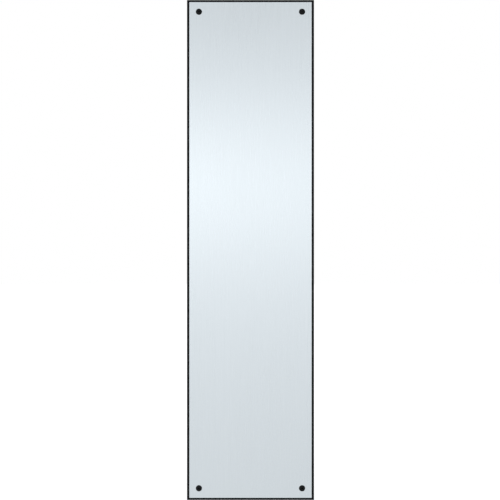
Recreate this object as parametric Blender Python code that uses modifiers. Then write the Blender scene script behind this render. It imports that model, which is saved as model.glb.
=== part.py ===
import math

import bmesh
import bpy
from mathutils import Matrix, Vector

# Metres. +Z is up along the plate's long side, X is its width, the front faces -Y
# and the back lies on the plane Y = 0, centred on the origin.
MM = 0.001

PLATE_WIDTH = 152.4 * MM
PLATE_HEIGHT = 600.0 * MM
PLATE_THICKNESS = 1.5 * MM
BEVEL_WIDTH = 2.9 * MM
BEVEL_DEPTH = 1.1 * MM

SCREW_INSET = 14.35 * MM  # from the outer edges to the screw's axis
SEAT_HALF_ANGLE = math.radians(41)  # the 82 degree countersink
SEAT_MOUTH_RADIUS = 3.75 * MM
HOLE_RADIUS = 2.55 * MM

HEAD_RADIUS = 3.45 * MM
HEAD_RIM = 0.12 * MM  # the upright band round the head, just proud of the plate
HEAD_RISE = 0.95 * MM  # from the rim's foot to the top of the oval
SHANK_RADIUS = 1.38 * MM
SHANK_TAPER = 0.15 * MM  # the shank's last stretch, which narrows to NECK_RADIUS
NECK_RADIUS = 1.125 * MM
CORE_RADIUS = 1.25 * MM
THREAD_RADIUS = 1.75 * MM
THREAD_PITCH = 1.27 * MM
THREAD_ROOT_WIDTH = 0.76 * MM
THREAD_CREST_WIDTH = 0.12 * MM
THREAD_STARTS = 3.2 * MM  # below the head's rim, rising to its full height over THREAD_RUNOUT
THREAD_RUNOUT = 1.3 * MM
THREAD_TOP = 1.6 * MM  # where its core ends, inside the head
SCREW_LENGTH = 15.9 * MM
POINT_LENGTH = 3.4 * MM
POINT_RADIUS = 0.05 * MM
POINT_CREST = 1.15  # the ridge is full this much sooner along the point than the core

RECESS_RADIUS = 2.05 * MM
RECESS_WIDTH = 0.95 * MM
RECESS_DEPTH = 2.2 * MM
RECESS_LONG_LEFT = 0.42  # the share of a wing's length left at the bottom
RECESS_WIDTH_LEFT = 0.6
RECESS_MIDDLE = 0.56  # the round middle at the top and at the bottom, as shares of RECESS_RADIUS
RECESS_FOOT = 0.3

SCREW_SPIN = {"top_left": 12, "top_right": 51, "bottom_left": 74, "bottom_right": 33}  # degrees

CUTTER_OVER = 0.3 * MM  # how far a cutter stands out past the surface it cuts
DOME_STEPS = 6
HEAD_STEPS = 32
THREAD_STEPS = 16  # per turn


def clear_scene():
    for item in list(bpy.data.objects):
        bpy.data.objects.remove(item, do_unlink=True)


def new_collection(name):
    collection = bpy.data.collections.new(name)
    bpy.context.scene.collection.children.link(collection)
    return collection


def new_material(name, color, metallic, roughness):
    material = bpy.data.materials.new(name)
    material.use_nodes = True
    shader = material.node_tree.nodes["Principled BSDF"]
    shader.inputs["Base Color"].default_value = (*color, 1.0)
    shader.inputs["Metallic"].default_value = metallic
    shader.inputs["Roughness"].default_value = roughness
    material.diffuse_color = (*color, 1.0)
    return material


def add_object(name, mesh, collection):
    item = bpy.data.objects.new(name, mesh)
    collection.objects.link(item)
    return item


def hide_cutter(item):
    item.hide_render = True
    item.display_type = "WIRE"


def finished_mesh(item, name, move=None):
    """The object's shape with its modifiers applied, each point moved, and merged where ends meet."""
    graph = bpy.context.evaluated_depsgraph_get()
    mesh = bpy.data.meshes.new_from_object(item.evaluated_get(graph))
    mesh.name = name
    shape = bmesh.new()
    shape.from_mesh(mesh)
    for vertex in shape.verts if move else []:
        vertex.co = move(vertex.co)
    bmesh.ops.remove_doubles(shape, verts=shape.verts, dist=0.002 * MM)
    bmesh.ops.holes_fill(shape, edges=[e for e in shape.edges if e.is_boundary])
    bmesh.ops.recalc_face_normals(shape, faces=shape.faces)
    shape.to_mesh(mesh)
    shape.free()
    return mesh


def add_boolean(item, other, operation):
    modifier = item.modifiers.new(operation.lower(), "BOOLEAN")
    modifier.operation = operation
    modifier.solver = "EXACT"
    modifier.object = other


def add_turned(name, profile, steps, collection):
    """A solid of revolution about Z. The profile is (radius, height), listed from top to bottom."""
    mesh = bpy.data.meshes.new(name + "_profile")
    points = [(radius, 0.0, height) for radius, height in profile]
    mesh.from_pydata(points, [(i, i + 1) for i in range(len(points) - 1)], [])
    item = add_object(name, mesh, collection)
    turn = item.modifiers.new("turn", "SCREW")
    turn.steps = turn.render_steps = steps
    turn.use_merge_vertices = True
    turn.merge_threshold = 0.001 * MM
    item.data = finished_mesh(item, name)
    item.modifiers.clear()
    return item


def add_frustum(name, top, bottom, top_height, depth, segments, collection):
    """A tapered prism about Z. top and bottom are (half width in X, half width in Y)."""
    shape = bmesh.new()
    bmesh.ops.create_cone(
        shape,
        cap_ends=True,
        cap_tris=False,
        segments=segments,
        radius1=1.0,
        radius2=1.0,
        depth=depth,
        matrix=Matrix.Rotation(math.pi / segments, 4, "Z"),
    )
    corner = math.cos(math.pi / segments)
    for vertex in shape.verts:
        half = top if vertex.co.z > 0 else bottom
        vertex.co.x *= half[0] / corner
        vertex.co.y *= half[1] / corner
        vertex.co.z += top_height - depth / 2
    mesh = bpy.data.meshes.new(name)
    shape.to_mesh(mesh)
    shape.free()
    return add_object(name, mesh, collection)


def make_plate(parts, cutters, material):
    """The sheet: bevelled on its four front edges and countersunk at each corner."""
    shape = bmesh.new()
    size = Matrix.Diagonal((PLATE_WIDTH, PLATE_THICKNESS, PLATE_HEIGHT, 1.0))
    middle = Matrix.Translation((0.0, -PLATE_THICKNESS / 2, 0.0))
    bmesh.ops.create_cube(shape, size=1.0, matrix=middle @ size)
    front = [face for face in shape.faces if face.normal.y < -0.9]
    bmesh.ops.inset_region(shape, faces=front, thickness=BEVEL_WIDTH, use_even_offset=True)
    inner = set(front[0].verts)
    for vertex in shape.verts:
        if vertex.co.y < -PLATE_THICKNESS / 2 and vertex not in inner:
            vertex.co.y += BEVEL_DEPTH
    mesh = bpy.data.meshes.new("plate")
    shape.to_mesh(mesh)
    shape.free()
    mesh.materials.append(material)
    plate = add_object("plate", mesh, parts)
    land = PLATE_THICKNESS - (SEAT_MOUTH_RADIUS - HOLE_RADIUS) / math.tan(SEAT_HALF_ANGLE)
    mouth = SEAT_MOUTH_RADIUS + CUTTER_OVER * math.tan(SEAT_HALF_ANGLE)
    seat = [
        (0.0, CUTTER_OVER),
        (mouth, CUTTER_OVER),
        (HOLE_RADIUS, land - PLATE_THICKNESS),
        (HOLE_RADIUS, -PLATE_THICKNESS - CUTTER_OVER),
        (0.0, -PLATE_THICKNESS - CUTTER_OVER),
    ]
    seat_cutter = add_turned("seat_cutter", seat, HEAD_STEPS, cutters)
    for name, x, z in screw_places():
        cutter = seat_cutter if name == "top_left" else seat_cutter.copy()
        cutter.name = "seat_cutter_" + name
        if cutter is not seat_cutter:
            cutters.objects.link(cutter)
        cutter.location = (x, -PLATE_THICKNESS, z)
        cutter.rotation_euler = (math.pi / 2, 0.0, 0.0)
        hide_cutter(cutter)
        add_boolean(plate, cutter, "DIFFERENCE")
    return plate


def screw_places():
    x = PLATE_WIDTH / 2 - SCREW_INSET
    z = PLATE_HEIGHT / 2 - SCREW_INSET
    return [
        ("top_left", -x, z),
        ("top_right", x, z),
        ("bottom_left", -x, -z),
        ("bottom_right", x, -z),
    ]


def head_profile():
    """The oval top, from the middle to the rim, as (radius, height) pairs."""
    rise = HEAD_RISE - HEAD_RIM
    sphere = (HEAD_RADIUS**2 + rise**2) / (2 * rise)
    edge = math.asin(HEAD_RADIUS / sphere)
    angles = [edge * step / DOME_STEPS for step in range(DOME_STEPS + 1)]
    drop = sphere - HEAD_RISE
    return [(sphere * math.sin(angle), sphere * math.cos(angle) - drop) for angle in angles]


def make_head(helpers):
    """The oval head and the start of the shank, with the foot of the head's rim at height 0."""
    under = (HEAD_RADIUS - SHANK_RADIUS) / math.tan(SEAT_HALF_ANGLE)
    profile = head_profile() + [
        (HEAD_RADIUS, 0.0),
        (SHANK_RADIUS, -under),
        (SHANK_RADIUS, -THREAD_STARTS + SHANK_TAPER),
        (NECK_RADIUS, -THREAD_STARTS),
        (0.0, -THREAD_STARTS),
    ]
    return add_turned("head", profile, HEAD_STEPS, helpers)


def mix(low, high, share):
    return low + (high - low) * min(max(share, 0.0), 1.0)


def drawn_in(point):
    """Where a point of the even, endless thread goes: the ridge fades out under the head, the
    whole is drawn out to the point, and what runs past either end is gathered in a flat ring."""
    top = -THREAD_TOP
    tip = -SCREW_LENGTH
    height = min(max(point.z, tip), top)
    from_tip = (height - tip) / POINT_LENGTH
    core = mix(POINT_RADIUS, CORE_RADIUS, from_tip)
    crest = mix(POINT_RADIUS, THREAD_RADIUS, from_tip * POINT_CREST)
    crest = mix(crest, core, (height + THREAD_STARTS) / THREAD_RUNOUT + 1.0)
    radius = math.hypot(point.x, point.y)
    share = (radius - CORE_RADIUS) / (THREAD_RADIUS - CORE_RADIUS)
    scale = mix(core, crest, share) / radius
    return Vector((point.x * scale, point.y * scale, height))


def make_thread(helpers):
    """The core and its ridge, swept together: the profile is one pitch high, so turns join up."""
    crest = THREAD_CREST_WIDTH / 2
    root = THREAD_ROOT_WIDTH / 2
    start = -SCREW_LENGTH - 1.5 * THREAD_PITCH
    profile = [
        (CORE_RADIUS, root),
        (THREAD_RADIUS, crest),
        (THREAD_RADIUS, -crest),
        (CORE_RADIUS, -root),
        (CORE_RADIUS, root - THREAD_PITCH),
    ]
    turns = math.ceil(SCREW_LENGTH / THREAD_PITCH) + 1
    mesh = bpy.data.meshes.new("thread_profile")
    points = [(radius, 0.0, start + height) for radius, height in profile]
    mesh.from_pydata(points, [(i, i + 1) for i in range(len(points) - 1)], [])
    thread = add_object("thread", mesh, helpers)
    sweep = thread.modifiers.new("sweep", "SCREW")
    sweep.angle = 2 * math.pi * turns
    sweep.screw_offset = THREAD_PITCH * turns
    sweep.steps = sweep.render_steps = THREAD_STEPS * turns
    thread.data = finished_mesh(thread, "thread", drawn_in)
    thread.modifiers.clear()
    return thread


def make_recess(helpers):
    """Two crossed tapered wings and a round middle: the cross driver's seat."""
    top = HEAD_RISE + CUTTER_OVER
    depth = RECESS_DEPTH + CUTTER_OVER
    length = (RECESS_RADIUS, RECESS_RADIUS * RECESS_LONG_LEFT)
    width = (RECESS_WIDTH / 2, RECESS_WIDTH / 2 * RECESS_WIDTH_LEFT)
    wings = [
        add_frustum("wing_x", (length[0], width[0]), (length[1], width[1]), top, depth, 4, helpers),
        add_frustum("wing_y", (width[0], length[0]), (width[1], length[1]), top, depth, 4, helpers),
    ]
    middle = RECESS_RADIUS * RECESS_MIDDLE
    foot = RECESS_RADIUS * RECESS_FOOT
    core = add_frustum("recess_core", (middle, middle), (foot, foot), top, depth, 12, helpers)
    return wings + [core]


def make_screw_mesh(helpers, material):
    """One finished screw, shared by the four of them."""
    body = make_head(helpers)
    add_boolean(body, make_thread(helpers), "UNION")
    for cutter in make_recess(helpers):
        add_boolean(body, cutter, "DIFFERENCE")
    mesh = finished_mesh(body, "screw")
    mesh.materials.clear()
    mesh.materials.append(material)
    for item in helpers.objects:
        hide_cutter(item)
    return mesh


def make_screws(parts, mesh):
    """Four screws, each with its origin on its own axis and turned to its own angle."""
    for name, x, z in screw_places():
        screw = add_object("screw_" + name, mesh, parts)
        screw.location = (x, -PLATE_THICKNESS, z)
        screw.rotation_euler = (math.pi / 2, math.radians(SCREW_SPIN[name]), 0.0)


def shade(mesh, sharp):
    """Round faces smooth, with edges sharper than the angle left crisp."""
    mesh.polygons.foreach_set("use_smooth", [True] * len(mesh.polygons))
    mesh.set_sharp_from_angle(angle=sharp)


def main():
    clear_scene()
    parts = new_collection("kick_plate")
    cutters = new_collection("cutters")
    helpers = new_collection("screw_helpers")
    steel = new_material("satin_steel", (0.72, 0.78, 0.82), 1.0, 0.32)
    black = new_material("black_screw", (0.02, 0.021, 0.024), 0.6, 0.4)
    make_plate(parts, cutters, steel)
    screw_mesh = make_screw_mesh(helpers, black)
    shade(screw_mesh, math.radians(35))
    make_screws(parts, screw_mesh)


main()
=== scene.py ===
import math

import bmesh
import bpy
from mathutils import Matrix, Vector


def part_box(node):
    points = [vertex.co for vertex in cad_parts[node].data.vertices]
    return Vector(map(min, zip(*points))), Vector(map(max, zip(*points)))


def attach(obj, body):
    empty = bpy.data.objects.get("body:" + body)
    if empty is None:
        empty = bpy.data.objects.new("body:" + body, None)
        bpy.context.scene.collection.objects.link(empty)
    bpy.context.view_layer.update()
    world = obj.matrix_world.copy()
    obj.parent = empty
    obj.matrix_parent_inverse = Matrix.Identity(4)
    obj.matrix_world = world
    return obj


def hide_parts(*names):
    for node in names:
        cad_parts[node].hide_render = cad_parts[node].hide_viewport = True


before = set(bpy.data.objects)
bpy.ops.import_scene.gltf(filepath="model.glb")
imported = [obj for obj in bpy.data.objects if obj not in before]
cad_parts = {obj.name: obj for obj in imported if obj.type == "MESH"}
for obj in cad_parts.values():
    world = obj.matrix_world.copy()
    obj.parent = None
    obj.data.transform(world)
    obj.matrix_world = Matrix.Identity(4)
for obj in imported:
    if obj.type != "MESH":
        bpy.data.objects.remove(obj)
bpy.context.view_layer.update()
print("frame loaded:", ", ".join(sorted(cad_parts)))

mm = 0.001
plateLow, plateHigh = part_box("plate")
screwNames = sorted(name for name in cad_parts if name.startswith("screw_"))


def screwAxis(name):
    low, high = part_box(name)
    return (low.x + high.x) / 2, (low.z + high.z) / 2


class Wire:
    # One output of a node. Arithmetic on it adds the nodes that work it out.
    def __init__(self, bench, socket):
        self.bench = bench
        self.socket = socket

    def sum(self, operation, first, second=0.0):
        if self.socket.type == "RGBA":
            return self.bench.mix(1.0, first, second, operation)
        kind = "ShaderNodeVectorMath" if self.socket.type == "VECTOR" else "ShaderNodeMath"
        return self.bench.node(kind, {"operation": operation}, {0: first, 1: second})

    def __add__(self, other):
        return self.sum("ADD", self, other)

    def __radd__(self, other):
        return self.sum("ADD", other, self)

    def __sub__(self, other):
        return self.sum("SUBTRACT", self, other)

    def __rsub__(self, other):
        return self.sum("SUBTRACT", other, self)

    def __mul__(self, other):
        return self.sum("MULTIPLY", self, other)

    def __rmul__(self, other):
        return self.sum("MULTIPLY", other, self)

    def __truediv__(self, other):
        return self.sum("DIVIDE", self, other)

    def __rtruediv__(self, other):
        return self.sum("DIVIDE", other, self)

    def __pow__(self, other):
        return self.sum("POWER", self, other)

    def __neg__(self):
        return self.sum("MULTIPLY", self, -1.0)

    def __gt__(self, other):
        return self.sum("GREATER_THAN", self, other)

    def __lt__(self, other):
        return self.sum("LESS_THAN", self, other)

    def does(self, operation, other=0.0):
        # Any other operation, such as SINE or MAXIMUM.
        return self.sum(operation, self, other)

    def out(self, name):
        # Another output of the same node.
        return Wire(self.bench, self.socket.node.outputs[name])

    def between(self, low, high, newLow=0.0, newHigh=1.0, easing="LINEAR"):
        # Stretches low..high over newLow..newHigh and holds it past either end.
        sockets = {0: self, 1: low, 2: high, 3: newLow, 4: newHigh}
        return self.bench.node("ShaderNodeMapRange", {"interpolation_type": easing}, sockets)


class Bench:
    # A node tree, with the ways this script adds to it.
    def __init__(self, tree):
        self.tree = tree

    def node(self, kind, settings=None, sockets=None, output=0):
        made = self.tree.nodes.new(kind)
        for name, value in (settings or {}).items():
            if name == "stops":
                self.setStops(made.color_ramp, value)
            else:
                setattr(made, name, value)
        for name, value in (sockets or {}).items():
            for single in value if isinstance(value, list) else [value]:
                self.plug(made.inputs[name], single)
        return Wire(self, made.outputs[output]) if made.outputs else made

    def plug(self, socket, value):
        if isinstance(value, Wire):
            self.tree.links.new(value.socket, socket)
        else:
            socket.default_value = value

    def setStops(self, ramp, stops):
        while len(ramp.elements) > 1:
            ramp.elements.remove(ramp.elements[-1])
        for number, (place, value) in enumerate(stops):
            stop = ramp.elements[0] if number == 0 else ramp.elements.new(place)
            stop.position = place
            stop.color = (value, value, value, 1.0)

    def mix(self, share, low, high, kind="MIX"):
        # Mixes two colours. Its sockets share names, so they are taken by number.
        settings = {"data_type": "RGBA", "clamp_factor": True, "blend_type": kind}
        return self.node("ShaderNodeMix", settings, {0: share, 6: low, 7: high}, 2)

    def vector(self, x=0.0, y=0.0, z=0.0):
        return self.node("ShaderNodeCombineXYZ", None, {0: x, 1: y, 2: z})

    def split(self, vector):
        x = self.node("ShaderNodeSeparateXYZ", None, {0: vector})
        return x, x.out("Y"), x.out("Z")


def newMaterial(name):
    material = bpy.data.materials.new(name)
    material.use_nodes = True
    material.node_tree.nodes.clear()
    return material, Bench(material.node_tree)


def finishMaterial(bench, sockets):
    shader = bench.node("ShaderNodeBsdfPrincipled", None, sockets)
    bench.node("ShaderNodeOutputMaterial", None, {"Surface": shader})


noiseDetail = 3.0
noiseSpan = (0.35, 0.65)  # noise seldom leaves this part of its range
reliefDepth = 0.02 * mm  # at strength 1


def noise(bench, waves, place=None):
    # Noise with its own number of waves per metre on each axis, so a low number draws it out.
    place = place or bench.node("ShaderNodeTexCoord", None, None, "Object")
    mapped = bench.node("ShaderNodeMapping", None, {"Vector": place, "Scale": waves})
    sockets = {"Vector": mapped, "Scale": 1.0, "Detail": noiseDetail}
    return bench.node("ShaderNodeTexNoise", None, sockets)


def layers(bench, finish, *names):
    # The named layers of noise, each weighted by its share.
    return [noise(bench, finish[name][0]) * finish[name][1] for name in names]


def bumped(bench, height, strength):
    sockets = {"Height": height, "Strength": strength, "Distance": reliefDepth}
    return bench.node("ShaderNodeBump", None, sockets)


def metalFinish(bench, finish, grain, relief):
    # Bare metal whose colour and roughness follow its grain.
    finishMaterial(bench, {
        "Base Color": bench.mix(grain.between(*noiseSpan), finish["dark"], finish["light"]),
        "Metallic": 1.0,
        "Roughness": grain.between(*noiseSpan, *finish["roughness"]),
        "Anisotropic": finish["drawnOut"],
        "Normal": bumped(bench, relief, finish["relief"]),
    })


faceFinish = {
    "light": (0.828, 0.895, 0.939, 1.0),
    "dark": (0.756, 0.822, 0.865, 1.0),
    "roughness": (0.26, 0.34),
    "drawnOut": 0.75,  # how far the gloss is drawn out across the grain
    "relief": 0.07,
    # the layers: waves per metre along X, Y and Z, and a share of the grain
    "hair": ((5200, 5200, 30), 0.6),
    "streak": ((620, 620, 3.5), 0.2),
    "cloud": ((13, 13, 5), 0.2),
}


def makeBrushedFace():
    # Upright brushing: hair-fine grain, wider streaks, and slow clouds where hands have been.
    material, bench = newMaterial("brushedFace")
    hair, streak, cloud = layers(bench, faceFinish, "hair", "streak", "cloud")
    metalFinish(bench, faceFinish, hair + streak + cloud, hair + streak)
    return material


backFinish = {
    "light": (0.66, 0.70, 0.72, 1.0),
    "dark": (0.52, 0.56, 0.58, 1.0),
    "roughness": (0.50, 0.36),
    "drawnOut": 0.2,
    "relief": 0.12,
    "rolled": ((900, 900, 60), 0.5),
    "patch": ((30, 30, 12), 0.3),
    "speck": ((1400, 1400, 1400), 0.2),
}


def makeMillBack():
    # The unbrushed back: rolling marks along the sheet, dull patches, and fine specks.
    material, bench = newMaterial("millBack")
    rolled, patch, speck = layers(bench, backFinish, "rolled", "patch", "speck")
    grain = rolled + patch + speck
    metalFinish(bench, backFinish, grain, grain)
    return material


seatFinish = {
    "light": (0.70, 0.74, 0.76, 1.0),
    "dark": (0.45, 0.48, 0.50, 1.0),
    "roughness": (0.28, 0.40),
    "drawnOut": 0.0,
    "relief": 0.2,
    "pitch": 0.12 * mm,  # between the tool marks
    "ringShare": 0.12,
    "speck": ((5000, 5000, 5000), 0.9),
}


def makeTurnedSeat():
    # Bright countersinks, ringed by the tool. The four mirror one another about the middle.
    material, bench = newMaterial("turnedSeat")
    place = bench.node("ShaderNodeTexCoord", None, None, "Object")
    x, y, z = bench.split(place)
    axisX, axisZ = screwAxis(screwNames[0])
    across = x.does("ABSOLUTE") - abs(axisX)
    along = z.does("ABSOLUTE") - abs(axisZ)
    reach = (across * across + along * along) ** 0.5
    ring = (reach * (2 * math.pi / seatFinish["pitch"])).does("SINE")
    waves, share = seatFinish["speck"]
    mark = ring * seatFinish["ringShare"] + noise(bench, waves, place) * share
    metalFinish(bench, seatFinish, mark, ring)
    return material


# Near-black colours: a black coat on the screws, and painted shade on the plate's bevel.
blackCoatAndShadeColours = {
    "light": (0.0040, 0.0052, 0.0068, 1.0),
    "dark": (0.0020, 0.0027, 0.0038, 1.0),
    "worn": (0.040, 0.043, 0.048, 1.0),
    "wornGloss": 0.1,
    "glossSpan": (0.3, 0.7),  # the part of the speck's range that changes the roughness
    "relief": 0.15,
}


def blackCoatAndShade(bench, speck, worn, roughness, sheen):
    # Black over steel, thinner and glossier where worn is 1. On the screws it is a black coat; on
    # the plate's bevel it is painted shade.
    plain = bench.mix(speck.between(*noiseSpan), blackCoatAndShadeColours["dark"], blackCoatAndShadeColours["light"])
    rough = speck.between(*blackCoatAndShadeColours["glossSpan"], *roughness)
    finishMaterial(bench, {
        "Base Color": bench.mix(worn, plain, blackCoatAndShadeColours["worn"]),
        "Roughness": rough - worn * blackCoatAndShadeColours["wornGloss"],
        "Specular IOR Level": sheen,
        "Normal": bumped(bench, speck, blackCoatAndShadeColours["relief"]),
    })


# The bevel's near-black colour is painted shade, with a low sheen so that it stays dark from
# every side.
bevelShadeSettings = {
    "roughness": (0.42, 0.54),
    "sheen": 0.08,
    "band": 0.25 * mm,  # the arris that gets rubbed
    "rubWaves": (160, 160, 160),
    "rubbed": (0.60, 0.72),  # the part of the noise that shows as spots
    "speckWaves": (2600, 2600, 2600),
}


def makeBlackBevelPaintedShade():
    # The black border: painted shade, near-black all round the bevel so that it stays dark from
    # every side, rubbed in small spots along its outer arris.
    material, bench = newMaterial("blackBevelPaintedShade")
    place = bench.node("ShaderNodeTexCoord", None, None, "Object")
    x, y, z = bench.split(place)
    band = bevelShadeSettings["band"]
    side = x.does("ABSOLUTE") - (plateHigh.x - band)
    end = z.does("ABSOLUTE") - (plateHigh.z - band)
    rub = noise(bench, bevelShadeSettings["rubWaves"], place).between(*bevelShadeSettings["rubbed"])
    worn = side.does("MAXIMUM", end).between(0.0, band) * rub
    speck = noise(bench, bevelShadeSettings["speckWaves"], place)
    blackCoatAndShade(bench, speck, worn, bevelShadeSettings["roughness"], bevelShadeSettings["sheen"])
    return material


screwFinish = {
    "roughness": (0.35, 0.47),
    "sheen": 0.2,
    # worn along its recess: the cross's half sizes at the oval top, in millimetres
    "lipLong": 1.86,
    "lipThin": 0.45,
    "lipMiddle": 1.07,
    "lipWidth": 0.11,
    "lipAbove": 0.4,
    # and on its thread: the radii between which the wear grows, and how high it reaches
    "crest": (1.62, 1.75),
    "crestBelow": -2.4,
    # waves per millimetre
    "rubWaves": (1.4, 1.4, 1.4),
    "rubbed": (0.42, 0.62),
    "speckWaves": (5, 5, 5),
}


def makeBlackScrew():
    # Each screw carries its own coordinates, in millimetres about its axis.
    material, bench = newMaterial("blackScrew")
    own = bench.node("ShaderNodeAttribute", {"attribute_name": "ownPlace"}, None, "Vector")
    x, y, z = bench.split(own)
    reach = (x * x + y * y) ** 0.5
    x = x.does("ABSOLUTE")
    y = y.does("ABSOLUTE")
    # How far a point lies from the outline of the cross.
    wingX = (x - screwFinish["lipLong"]).does("MAXIMUM", y - screwFinish["lipThin"])
    wingY = (y - screwFinish["lipLong"]).does("MAXIMUM", x - screwFinish["lipThin"])
    middle = reach - screwFinish["lipMiddle"]
    fromLip = wingX.does("MINIMUM", wingY).does("MINIMUM", middle).does("ABSOLUTE")
    lip = fromLip.between(0.0, screwFinish["lipWidth"], 1.0, 0.0) * (z > screwFinish["lipAbove"])
    crest = reach.between(*screwFinish["crest"]) * (z < screwFinish["crestBelow"])
    rub = noise(bench, screwFinish["rubWaves"], own).between(*screwFinish["rubbed"])
    speck = noise(bench, screwFinish["speckWaves"], own)
    worn = lip.does("MAXIMUM", crest) * rub
    blackCoatAndShade(bench, speck, worn, screwFinish["roughness"], screwFinish["sheen"])
    return material


brushedFace = makeBrushedFace()
millBack = makeMillBack()
turnedSeat = makeTurnedSeat()
# the black edge is painted shade on the plate's bevel
blackBevelPaintedShade = makeBlackBevelPaintedShade()
blackScrew = makeBlackScrew()
print("finishes made: brushed face, mill back, turned seats, blackened edge, black screws")


mergeWithin = 0.0005 * mm  # points this close are one


class Shaper(Bench):
    # A Geometry Nodes tree whose named inputs are the sizes in a dictionary.
    def __init__(self, name, sizes):
        super().__init__(bpy.data.node_groups.new(name, "GeometryNodeTree"))
        self.sizes = sizes
        interface = self.tree.interface
        kinds = {float: "NodeSocketFloat", int: "NodeSocketInt"}
        for size, value in sizes.items():
            kind = kinds.get(type(value), "NodeSocketMaterial")
            interface.new_socket(size, in_out="INPUT", socket_type=kind)
        interface.new_socket("Geometry", in_out="OUTPUT", socket_type="NodeSocketGeometry")
        self.inputs = self.tree.nodes.new("NodeGroupInput")

    def given(self, size):
        return Wire(self, self.inputs.outputs[size])

    def finish(self, shape):
        sockets = {0: self.realized(shape), "Material": self.given("material")}
        finished = self.node("GeometryNodeSetMaterial", None, sockets)
        self.node("NodeGroupOutput", None, {0: finished})
        return self

    def realized(self, shape):
        return self.node("GeometryNodeRealizeInstances", None, {0: shape})

    def position(self):
        return self.node("GeometryNodeInputPosition")

    def place(self, shape, position):
        sockets = {"Geometry": shape, "Position": position}
        return self.node("GeometryNodeSetPosition", None, sockets)

    def moved(self, shape, **sockets):
        return self.node("GeometryNodeTransform", None, {"Geometry": shape, **sockets})

    def weld(self, shape):
        return self.node("GeometryNodeMergeByDistance", None, {0: shape, "Distance": mergeWithin})

    def cut(self, shape, cutter):
        settings = {"operation": "DIFFERENCE", "solver": "EXACT"}
        return self.node("GeometryNodeMeshBoolean", settings, {"Mesh 1": shape, "Mesh 2": cutter})

    def joined(self, *shapes):
        settings = {"operation": "UNION", "solver": "EXACT"}
        return self.node("GeometryNodeMeshBoolean", settings, {"Mesh 2": list(shapes)})

    def sheet(self, columns, rows):
        # A flat grid to roll up, with how far along it each point is, and which row it is in.
        x, y, z = self.split(self.position())
        return self.grid(1.0, float(rows), columns, rows + 1), x + 0.5, y + rows / 2

    def grid(self, width, height, columns, rows):
        sockets = {"Size X": width, "Size Y": height, "Vertices X": columns, "Vertices Y": rows}
        return self.node("GeometryNodeMeshGrid", None, sockets)

    def along(self, row, values):
        # The value at this row, straight from one listed value to the next.
        total = values[0]
        for number, (here, after) in enumerate(zip(values, values[1:])):
            total = total + (after - here) * row.between(number, number + 1)
        return total

    def rolled(self, flat, angle, radius, height):
        position = self.vector(radius * angle.does("COSINE"), radius * angle.does("SINE"), height)
        return self.weld(self.place(flat, position))

    def turned(self, outline, columns):
        # A solid of revolution about Z, from (radius, height) pairs listed upwards from the axis.
        flat, column, row = self.sheet(columns, len(outline) - 1)
        radius = self.along(row, [point[0] for point in outline])
        height = self.along(row, [point[1] for point in outline])
        return self.rolled(flat, column * (2 * math.pi), radius, height)


def makeFrom(name, shaper):
    # An object that carries the tree, with each of its inputs set by identifier.
    item = bpy.data.objects.new(name, bpy.data.meshes.new(name))
    bpy.context.scene.collection.objects.link(item)
    modifier = item.modifiers.new("shape", "NODES")
    modifier.node_group = shaper.tree
    for socket in shaper.tree.interface.items_tree:
        if socket.in_out == "INPUT":
            modifier[socket.identifier] = shaper.sizes[socket.name]
    return item


def applied(item, materials, sharpAngle):
    # Puts the modifiers' result in a plain mesh, with its faces outwards and its arrises crisp.
    graph = bpy.context.evaluated_depsgraph_get()
    mesh = bpy.data.meshes.new_from_object(item.evaluated_get(graph), depsgraph=graph)
    empty = item.data
    item.modifiers.clear()
    item.data = mesh
    bpy.data.meshes.remove(empty)
    mesh.name = item.name
    mesh.materials.clear()
    for material in materials:
        mesh.materials.append(material)
    mesh.polygons.foreach_set("material_index", [0] * len(mesh.polygons))
    shape = bmesh.new()
    shape.from_mesh(mesh)
    bmesh.ops.remove_doubles(shape, verts=shape.verts, dist=mergeWithin)
    bmesh.ops.recalc_face_normals(shape, faces=shape.faces)
    shape.to_mesh(mesh)
    shape.free()
    mesh.polygons.foreach_set("use_smooth", [True] * len(mesh.polygons))
    mesh.set_sharp_from_angle(angle=sharpAngle)
    return item


plateSizes = {
    "width": plateHigh.x - plateLow.x,
    "height": plateHigh.z - plateLow.z,
    "thickness": plateHigh.y - plateLow.y,
    "bevelWidth": 2.9 * mm,
    "bevelDepth": 1.1 * mm,
    "inset": 14.35 * mm,
    "mouthRadius": 3.75 * mm,
    "holeRadius": 2.55 * mm,
    "halfAngle": math.radians(41),
    "cutterOver": 1.0 * mm,  # how far a cutter stands out of the sheet at either side
    "seatColumns": 97,
    "material": brushedFace,
}
arris = {
    "width": 0.06 * mm,  # the least round on every edge
    "segments": 2,
    "least": math.radians(15),  # a shallower edge stays as it is
    "sharp": math.radians(4.5),  # flat faces stay flat, and the turned seats smooth
}
plateFinishes = [brushedFace, millBack, turnedSeat, blackBevelPaintedShade]


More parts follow.
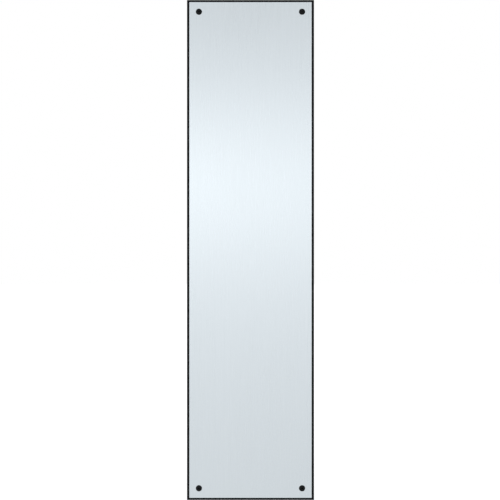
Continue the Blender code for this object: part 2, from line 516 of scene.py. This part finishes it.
def shapePlate():
    bench = Shaper("bevelledPlate", plateSizes)
    width = bench.given("width")
    height = bench.given("height")
    thickness = bench.given("thickness")
    # Three layers of points from front to back, and the front one is drawn in by the bevel.
    sockets = {"Size": (2.0, 2.0, 2.0), "Vertices X": 2, "Vertices Y": 3, "Vertices Z": 2}
    block = bench.node("GeometryNodeMeshCube", None, sockets)
    x, y, z = bench.split(bench.position())
    inward = y.between(-1.0, 0.0, bench.given("bevelWidth"), 0.0)
    depth = bench.along(y + 1.0, [-thickness, bench.given("bevelDepth") - thickness, 0.0])
    corner = bench.vector(x * (width / 2 - inward), depth, z * (height / 2 - inward))
    body = bench.place(block, corner)
    # One turned cutter, set at each corner.
    slope = bench.given("halfAngle").does("TANGENT")
    mouth = bench.given("mouthRadius")
    hole = bench.given("holeRadius")
    over = bench.given("cutterOver")
    outline = [
        (0.0, -thickness - over),
        (mouth + slope * over, -thickness - over),
        (hole, (mouth - hole) / slope - thickness),
        (hole, over),
        (0.0, over),
    ]
    cutter = bench.turned(outline, bench.given("seatColumns"))
    inset = bench.given("inset") * 2
    sockets = {"Points": bench.grid(width - inset, height - inset, 2, 2), "Instance": cutter}
    seats = bench.node("GeometryNodeInstanceOnPoints", None, sockets)
    seats = bench.moved(seats, Rotation=(-math.pi / 2, 0.0, 0.0))
    return bench.finish(bench.cut(body, bench.realized(seats)))


def finishPlate(mesh):
    # Mill back, turned seats and black border (painted shade on the bevel), by where each face
    # lies. The rest is the front.
    axisX, axisZ = (abs(value) for value in screwAxis(screwNames[0]))
    innerX = plateHigh.x - plateSizes["bevelWidth"]
    innerZ = plateHigh.z - plateSizes["bevelWidth"]
    for face in mesh.polygons:
        x = abs(face.center.x)
        z = abs(face.center.z)
        if face.normal.y > 0.9:
            face.material_index = plateFinishes.index(millBack)
        elif math.hypot(x - axisX, z - axisZ) < plateSizes["mouthRadius"]:
            face.material_index = plateFinishes.index(turnedSeat)
        # the bevel faces take the near-black painted shade
        elif x > innerX or z > innerZ:
            face.material_index = plateFinishes.index(blackBevelPaintedShade)


plate = makeFrom("plateSheet", shapePlate())
rounding = plate.modifiers.new("arris", "BEVEL")
rounding.width = arris["width"]
rounding.segments = arris["segments"]
rounding.limit_method = "ANGLE"
rounding.angle_limit = arris["least"]
applied(plate, plateFinishes, arris["sharp"])
finishPlate(plate.data)
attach(plate, "plate")
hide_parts("plate")
print("plate made:", len(plate.data.polygons), "faces")


screwSizes = {
    "headRadius": 3.45 * mm,
    "headRim": 0.12 * mm,
    "headRise": 0.95 * mm,
    "headRound": 0.04 * mm,  # the small slope between the cone and the rim
    "halfAngle": math.radians(41),
    "shankRadius": 1.38 * mm,
    "shankTaper": 0.15 * mm,
    "neckRadius": 1.125 * mm,
    "coreRadius": 1.25 * mm,
    "threadRadius": 1.75 * mm,
    "pitch": 1.27 * mm,
    "rootWidth": 0.76 * mm,
    "crestWidth": 0.12 * mm,
    "threadStarts": 3.2 * mm,
    "threadTop": 1.6 * mm,  # where its sweep ends, inside the head
    "threadRunout": 1.3 * mm,  # over which the ridge fades under the head
    "threadTurns": 14,
    "length": 15.9 * mm,
    "pointLength": 3.4 * mm,
    "pointRadius": 0.05 * mm,
    "pointCrest": 1.15,  # how much sooner than the core the thread gets its full height
    "recessRadius": 2.05 * mm,
    "recessWidth": 0.95 * mm,
    "recessDepth": 2.2 * mm,
    "recessLongLeft": 0.42,  # the share of a wing's length left at the bottom
    "recessWidthLeft": 0.6,
    "recessMiddle": 0.56,  # the round middle at the top and at the bottom, as shares of its reach
    "recessFoot": 0.3,
    "cutterOver": 0.3 * mm,
    "headColumns": 97,
    "stepsPerTurn": 48,
    "recessColumns": 48,
    "axisX": 0.0,  # these three are set for each screw
    "axisZ": 0.0,
    "spin": 0.0,
    "material": blackScrew,
}
domeRings = (1.0, 0.96, 0.85, 0.7, 0.55, 0.4, 0.25, 0.1)  # shares of the way out from its middle
screwSharp = math.radians(32)
screwSpins = {
    "screw_top_left": 12,
    "screw_top_right": 51,
    "screw_bottom_left": 74,
    "screw_bottom_right": 33,
}


def shapeHead(bench):
    # Up from the shank's foot, out along the cone to the rim, and over the oval top.
    radius = bench.given("headRadius")
    rim = bench.given("headRim")
    shank = bench.given("shankRadius")
    foot = -bench.given("threadStarts")
    rise = bench.given("headRise") - rim
    sphere = (radius * radius + rise * rise) / (rise * 2)
    edge = (radius / sphere).does("ARCSINE")
    drop = sphere - bench.given("headRise")
    small = bench.given("headRound")
    outline = [
        (0.0, foot),
        (bench.given("neckRadius"), foot),
        (shank, foot + bench.given("shankTaper")),
        (shank, (shank - radius) / bench.given("halfAngle").does("TANGENT")),
        (radius - small, -small),
        (radius, small * 0.5),
    ]
    for share in domeRings:
        angle = edge * share
        outline.append((sphere * angle.does("SINE"), sphere * angle.does("COSINE") - drop))
    outline.append((0.0, bench.given("headRise")))
    return bench.turned(outline, bench.given("headColumns"))


def shapeThread(bench):
    # One pitch of thread swept up its helix, so that each turn meets the next. The ridge fades
    # under the head and is drawn in to the point. Past either end the sweep closes on the axis.
    core = bench.given("coreRadius")
    pitch = bench.given("pitch")
    root = bench.given("rootWidth") / 2
    flat = bench.given("crestWidth") / 2
    point = bench.given("pointRadius")
    starts = bench.given("threadStarts")
    tip = -bench.given("length")
    top = -bench.given("threadTop")
    turns = bench.given("threadTurns")
    ridgeHeights = [-root, -flat, flat, root, pitch - root]
    ridgeShares = [0.0, 1.0, 1.0, 0.0, 0.0]
    steps = bench.given("stepsPerTurn") * turns
    flatGrid, column, row = bench.sheet(steps + 1, len(ridgeShares) - 1)
    # It starts a turn and a half below the tip, so that the first ring is all past the end.
    sweep = bench.along(row, ridgeHeights) + tip + pitch * (column * turns - 1.5)
    height = sweep.does("MAXIMUM", tip).does("MINIMUM", top)
    fromTip = (height - tip) / bench.given("pointLength")
    coreHere = fromTip.between(0.0, 1.0, point, core)
    sooner = fromTip * bench.given("pointCrest")
    crestHere = sooner.between(0.0, 1.0, point, bench.given("threadRadius"))
    fade = ((height + starts) / bench.given("threadRunout")).between(-1.0, 0.0)
    ridge = bench.along(row, ridgeShares) * (1 - fade)
    past = pitch * 0.4  # beyond this far past an end, the radius is nothing
    inside = (sweep > tip - past) * (sweep < top + past)
    radius = (coreHere + (crestHere - coreHere) * ridge) * inside
    return bench.rolled(flatGrid, column * (2 * math.pi * turns), radius, height)


def shapeRecess(bench):
    # Two tapered wings crossed on a cone: the cross driver's seat. Each has its half widths at
    # the top, and the share of them that is left at the bottom.
    over = bench.given("cutterOver")
    top = bench.given("headRise") + over
    depth = bench.given("recessDepth") + over
    reach = bench.given("recessRadius")
    thin = bench.given("recessWidth") / 2
    middle = reach * bench.given("recessMiddle")
    longLeft = bench.given("recessLongLeft")
    thinLeft = bench.given("recessWidthLeft")
    middleLeft = bench.given("recessFoot") / bench.given("recessMiddle")
    box = ("GeometryNodeMeshCube", {"Size": (2.0, 2.0, 2.0)})
    sides = bench.given("recessColumns")
    cone = ("GeometryNodeMeshCylinder", {"Vertices": sides, "Radius": 1.0, "Depth": 2.0})
    cutters = [
        (box, reach, thin, longLeft, thinLeft),
        (box, thin, reach, thinLeft, longLeft),
        (cone, middle, middle, middleLeft, middleLeft),
    ]
    shapes = []
    for (kind, sockets), halfX, halfY, leftX, leftY in cutters:
        x, y, z = bench.split(bench.position())
        up = z.between(-1.0, 1.0)
        x = x * halfX * up.between(0.0, 1.0, leftX, 1.0)
        y = y * halfY * up.between(0.0, 1.0, leftY, 1.0)
        cutter = bench.node(kind, None, sockets)
        shapes.append(bench.place(cutter, bench.vector(x, y, top - depth * (1 - up))))
    return bench.joined(*shapes)


def shapeScrew():
    bench = Shaper("ovalScrew", screwSizes)
    screw = bench.cut(bench.joined(shapeHead(bench), shapeThread(bench)), shapeRecess(bench))
    # Its own coordinates in millimetres are kept for the finish, before it goes to its hole.
    own = bench.position() * (1 / mm, 1 / mm, 1 / mm)
    settings = {"data_type": "FLOAT_VECTOR", "domain": "POINT"}
    sockets = {"Geometry": screw, "Name": "ownPlace", "Value": own}
    screw = bench.node("GeometryNodeStoreNamedAttribute", settings, sockets)
    screw = bench.moved(screw, Rotation=bench.vector(math.pi / 2, bench.given("spin"), 0.0))
    seat = bench.vector(bench.given("axisX"), plateLow.y, bench.given("axisZ"))
    return bench.finish(bench.moved(screw, Translation=seat))


ovalScrew = shapeScrew()
for name in screwNames:
    screwSizes["axisX"], screwSizes["axisZ"] = screwAxis(name)
    screwSizes["spin"] = math.radians(screwSpins[name])
    screw = applied(makeFrom(name + "_turned", ovalScrew), [blackScrew], screwSharp)
    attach(screw, name)
    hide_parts(name)
print("screws made:", len(screwNames), "of", len(screw.data.polygons), "faces each")


studio = {
    "floorColor": (0.9, 0.9, 0.9, 1.0),
    "floorRoughness": 0.9,
    "floorGlow": 0.5,
    "floorRadius": 9.0,
    "floorSides": 64,
    "floorGap": 0.3 * mm,  # under the plate's foot
    "brightness": 1.71,
    # the share of it by the sine of the height looked at, from straight down to straight up
    "byHeight": [
        (-1.0, 0.6), (-0.4, 0.45), (-0.05, 0.53), (0.02, 0.6),
        (0.06, 1.0), (0.1, 0.6), (0.17, 0.42), (1.0, 0.5),
    ],
    # and across: full over the middle, less at the sides, and even behind
    "middleX": -0.15,
    "middleEnds": (0.35, 0.75),
    "sideShare": 0.6,
    "backStarts": (-0.1, 0.3),
    "backShare": 0.9,
    # a lamp to the left: where it stands, how far its glow reaches, and how bright it is
    "lampX": -0.38,
    "lampZ": 0.065,
    "lampWide": 0.40,
    "lampTall": 0.075,
    "lampGlow": 0.5,
}


def makeFloor():
    shape = bmesh.new()
    sides = studio["floorSides"]
    bmesh.ops.create_circle(shape, cap_ends=True, segments=sides, radius=studio["floorRadius"])
    mesh = bpy.data.meshes.new("floor")
    shape.to_mesh(mesh)
    shape.free()
    floor = bpy.data.objects.new("floor", mesh)
    bpy.context.scene.collection.objects.link(floor)
    floor.location.z = plateLow.z - studio["floorGap"]
    material, bench = newMaterial("paleFloor")
    finishMaterial(bench, {
        "Base Color": studio["floorColor"],
        "Roughness": studio["floorRoughness"],
        "Emission Color": (1, 1, 1, 1),
        "Emission Strength": studio["floorGlow"],
    })
    mesh.materials.append(material)
    floor.visible_glossy = False


def makeRoom():
    # White where the camera sees it. What the metal reflects is a soft box ahead of its front.
    world = bpy.data.worlds.new("studioRoom")
    world.use_nodes = True
    world.node_tree.nodes.clear()
    bench = Bench(world.node_tree)
    x, y, z = bench.split(bench.node("ShaderNodeTexCoord", None, None, "Generated"))
    stops = [((height + 1) / 2, brightness) for height, brightness in studio["byHeight"]]
    tone = bench.node("ShaderNodeValToRGB", {"stops": stops}, {"Fac": z.between(-1, 1)})
    aside = (x - studio["middleX"]).does("ABSOLUTE")
    around = aside.between(*studio["middleEnds"], 1.0, studio["sideShare"], "SMOOTHSTEP")
    behind = y.between(*studio["backStarts"], 0.0, 1.0, "SMOOTHSTEP")
    across = (x - studio["lampX"]) / studio["lampWide"]
    up = (z - studio["lampZ"]) / studio["lampTall"]
    lamp = (across * across + up * up).between(0.0, 1.0, studio["lampGlow"], 0.0, "SMOOTHSTEP")
    share = around + lamp + (studio["backShare"] - around - lamp) * behind
    share = share * studio["brightness"]
    lit = bench.node("ShaderNodeBackground", None, {"Color": tone, "Strength": share})
    seen = bench.node("ShaderNodeBackground", None, {"Color": (1, 1, 1, 1), "Strength": 1.0})
    toCamera = bench.node("ShaderNodeLightPath", None, None, "Is Camera Ray")
    both = bench.node("ShaderNodeMixShader", None, {0: toCamera, 1: lit, 2: seen})
    bench.node("ShaderNodeOutputWorld", None, {"Surface": both})
    bpy.context.scene.world = world


view = {
    "lens": 85,
    "sensor": 36,
    "heightSeen": 0.9998,  # the share of the plate's height that fills the view
    "aside": -0.6 * mm,
    "outlineY": -0.4 * mm,  # the depth at which the plate's outline lies
}


def makeCamera():
    # Level with the plate's middle and square to it, where its height just overfills the view.
    data = bpy.data.cameras.new("camera")
    data.lens = view["lens"]
    data.sensor_width = view["sensor"]
    camera = bpy.data.objects.new("camera", data)
    bpy.context.scene.collection.objects.link(camera)
    back = view["heightSeen"] * (plateHigh.z - plateLow.z) / view["sensor"] * view["lens"]
    camera.location = (view["aside"], view["outlineY"] - back, 0.0)
    camera.rotation_euler = (math.pi / 2, 0.0, 0.0)
    bpy.context.scene.camera = camera


makeFloor()
makeRoom()
makeCamera()
bpy.context.scene.view_settings.view_transform = "Standard"
print("studio made")
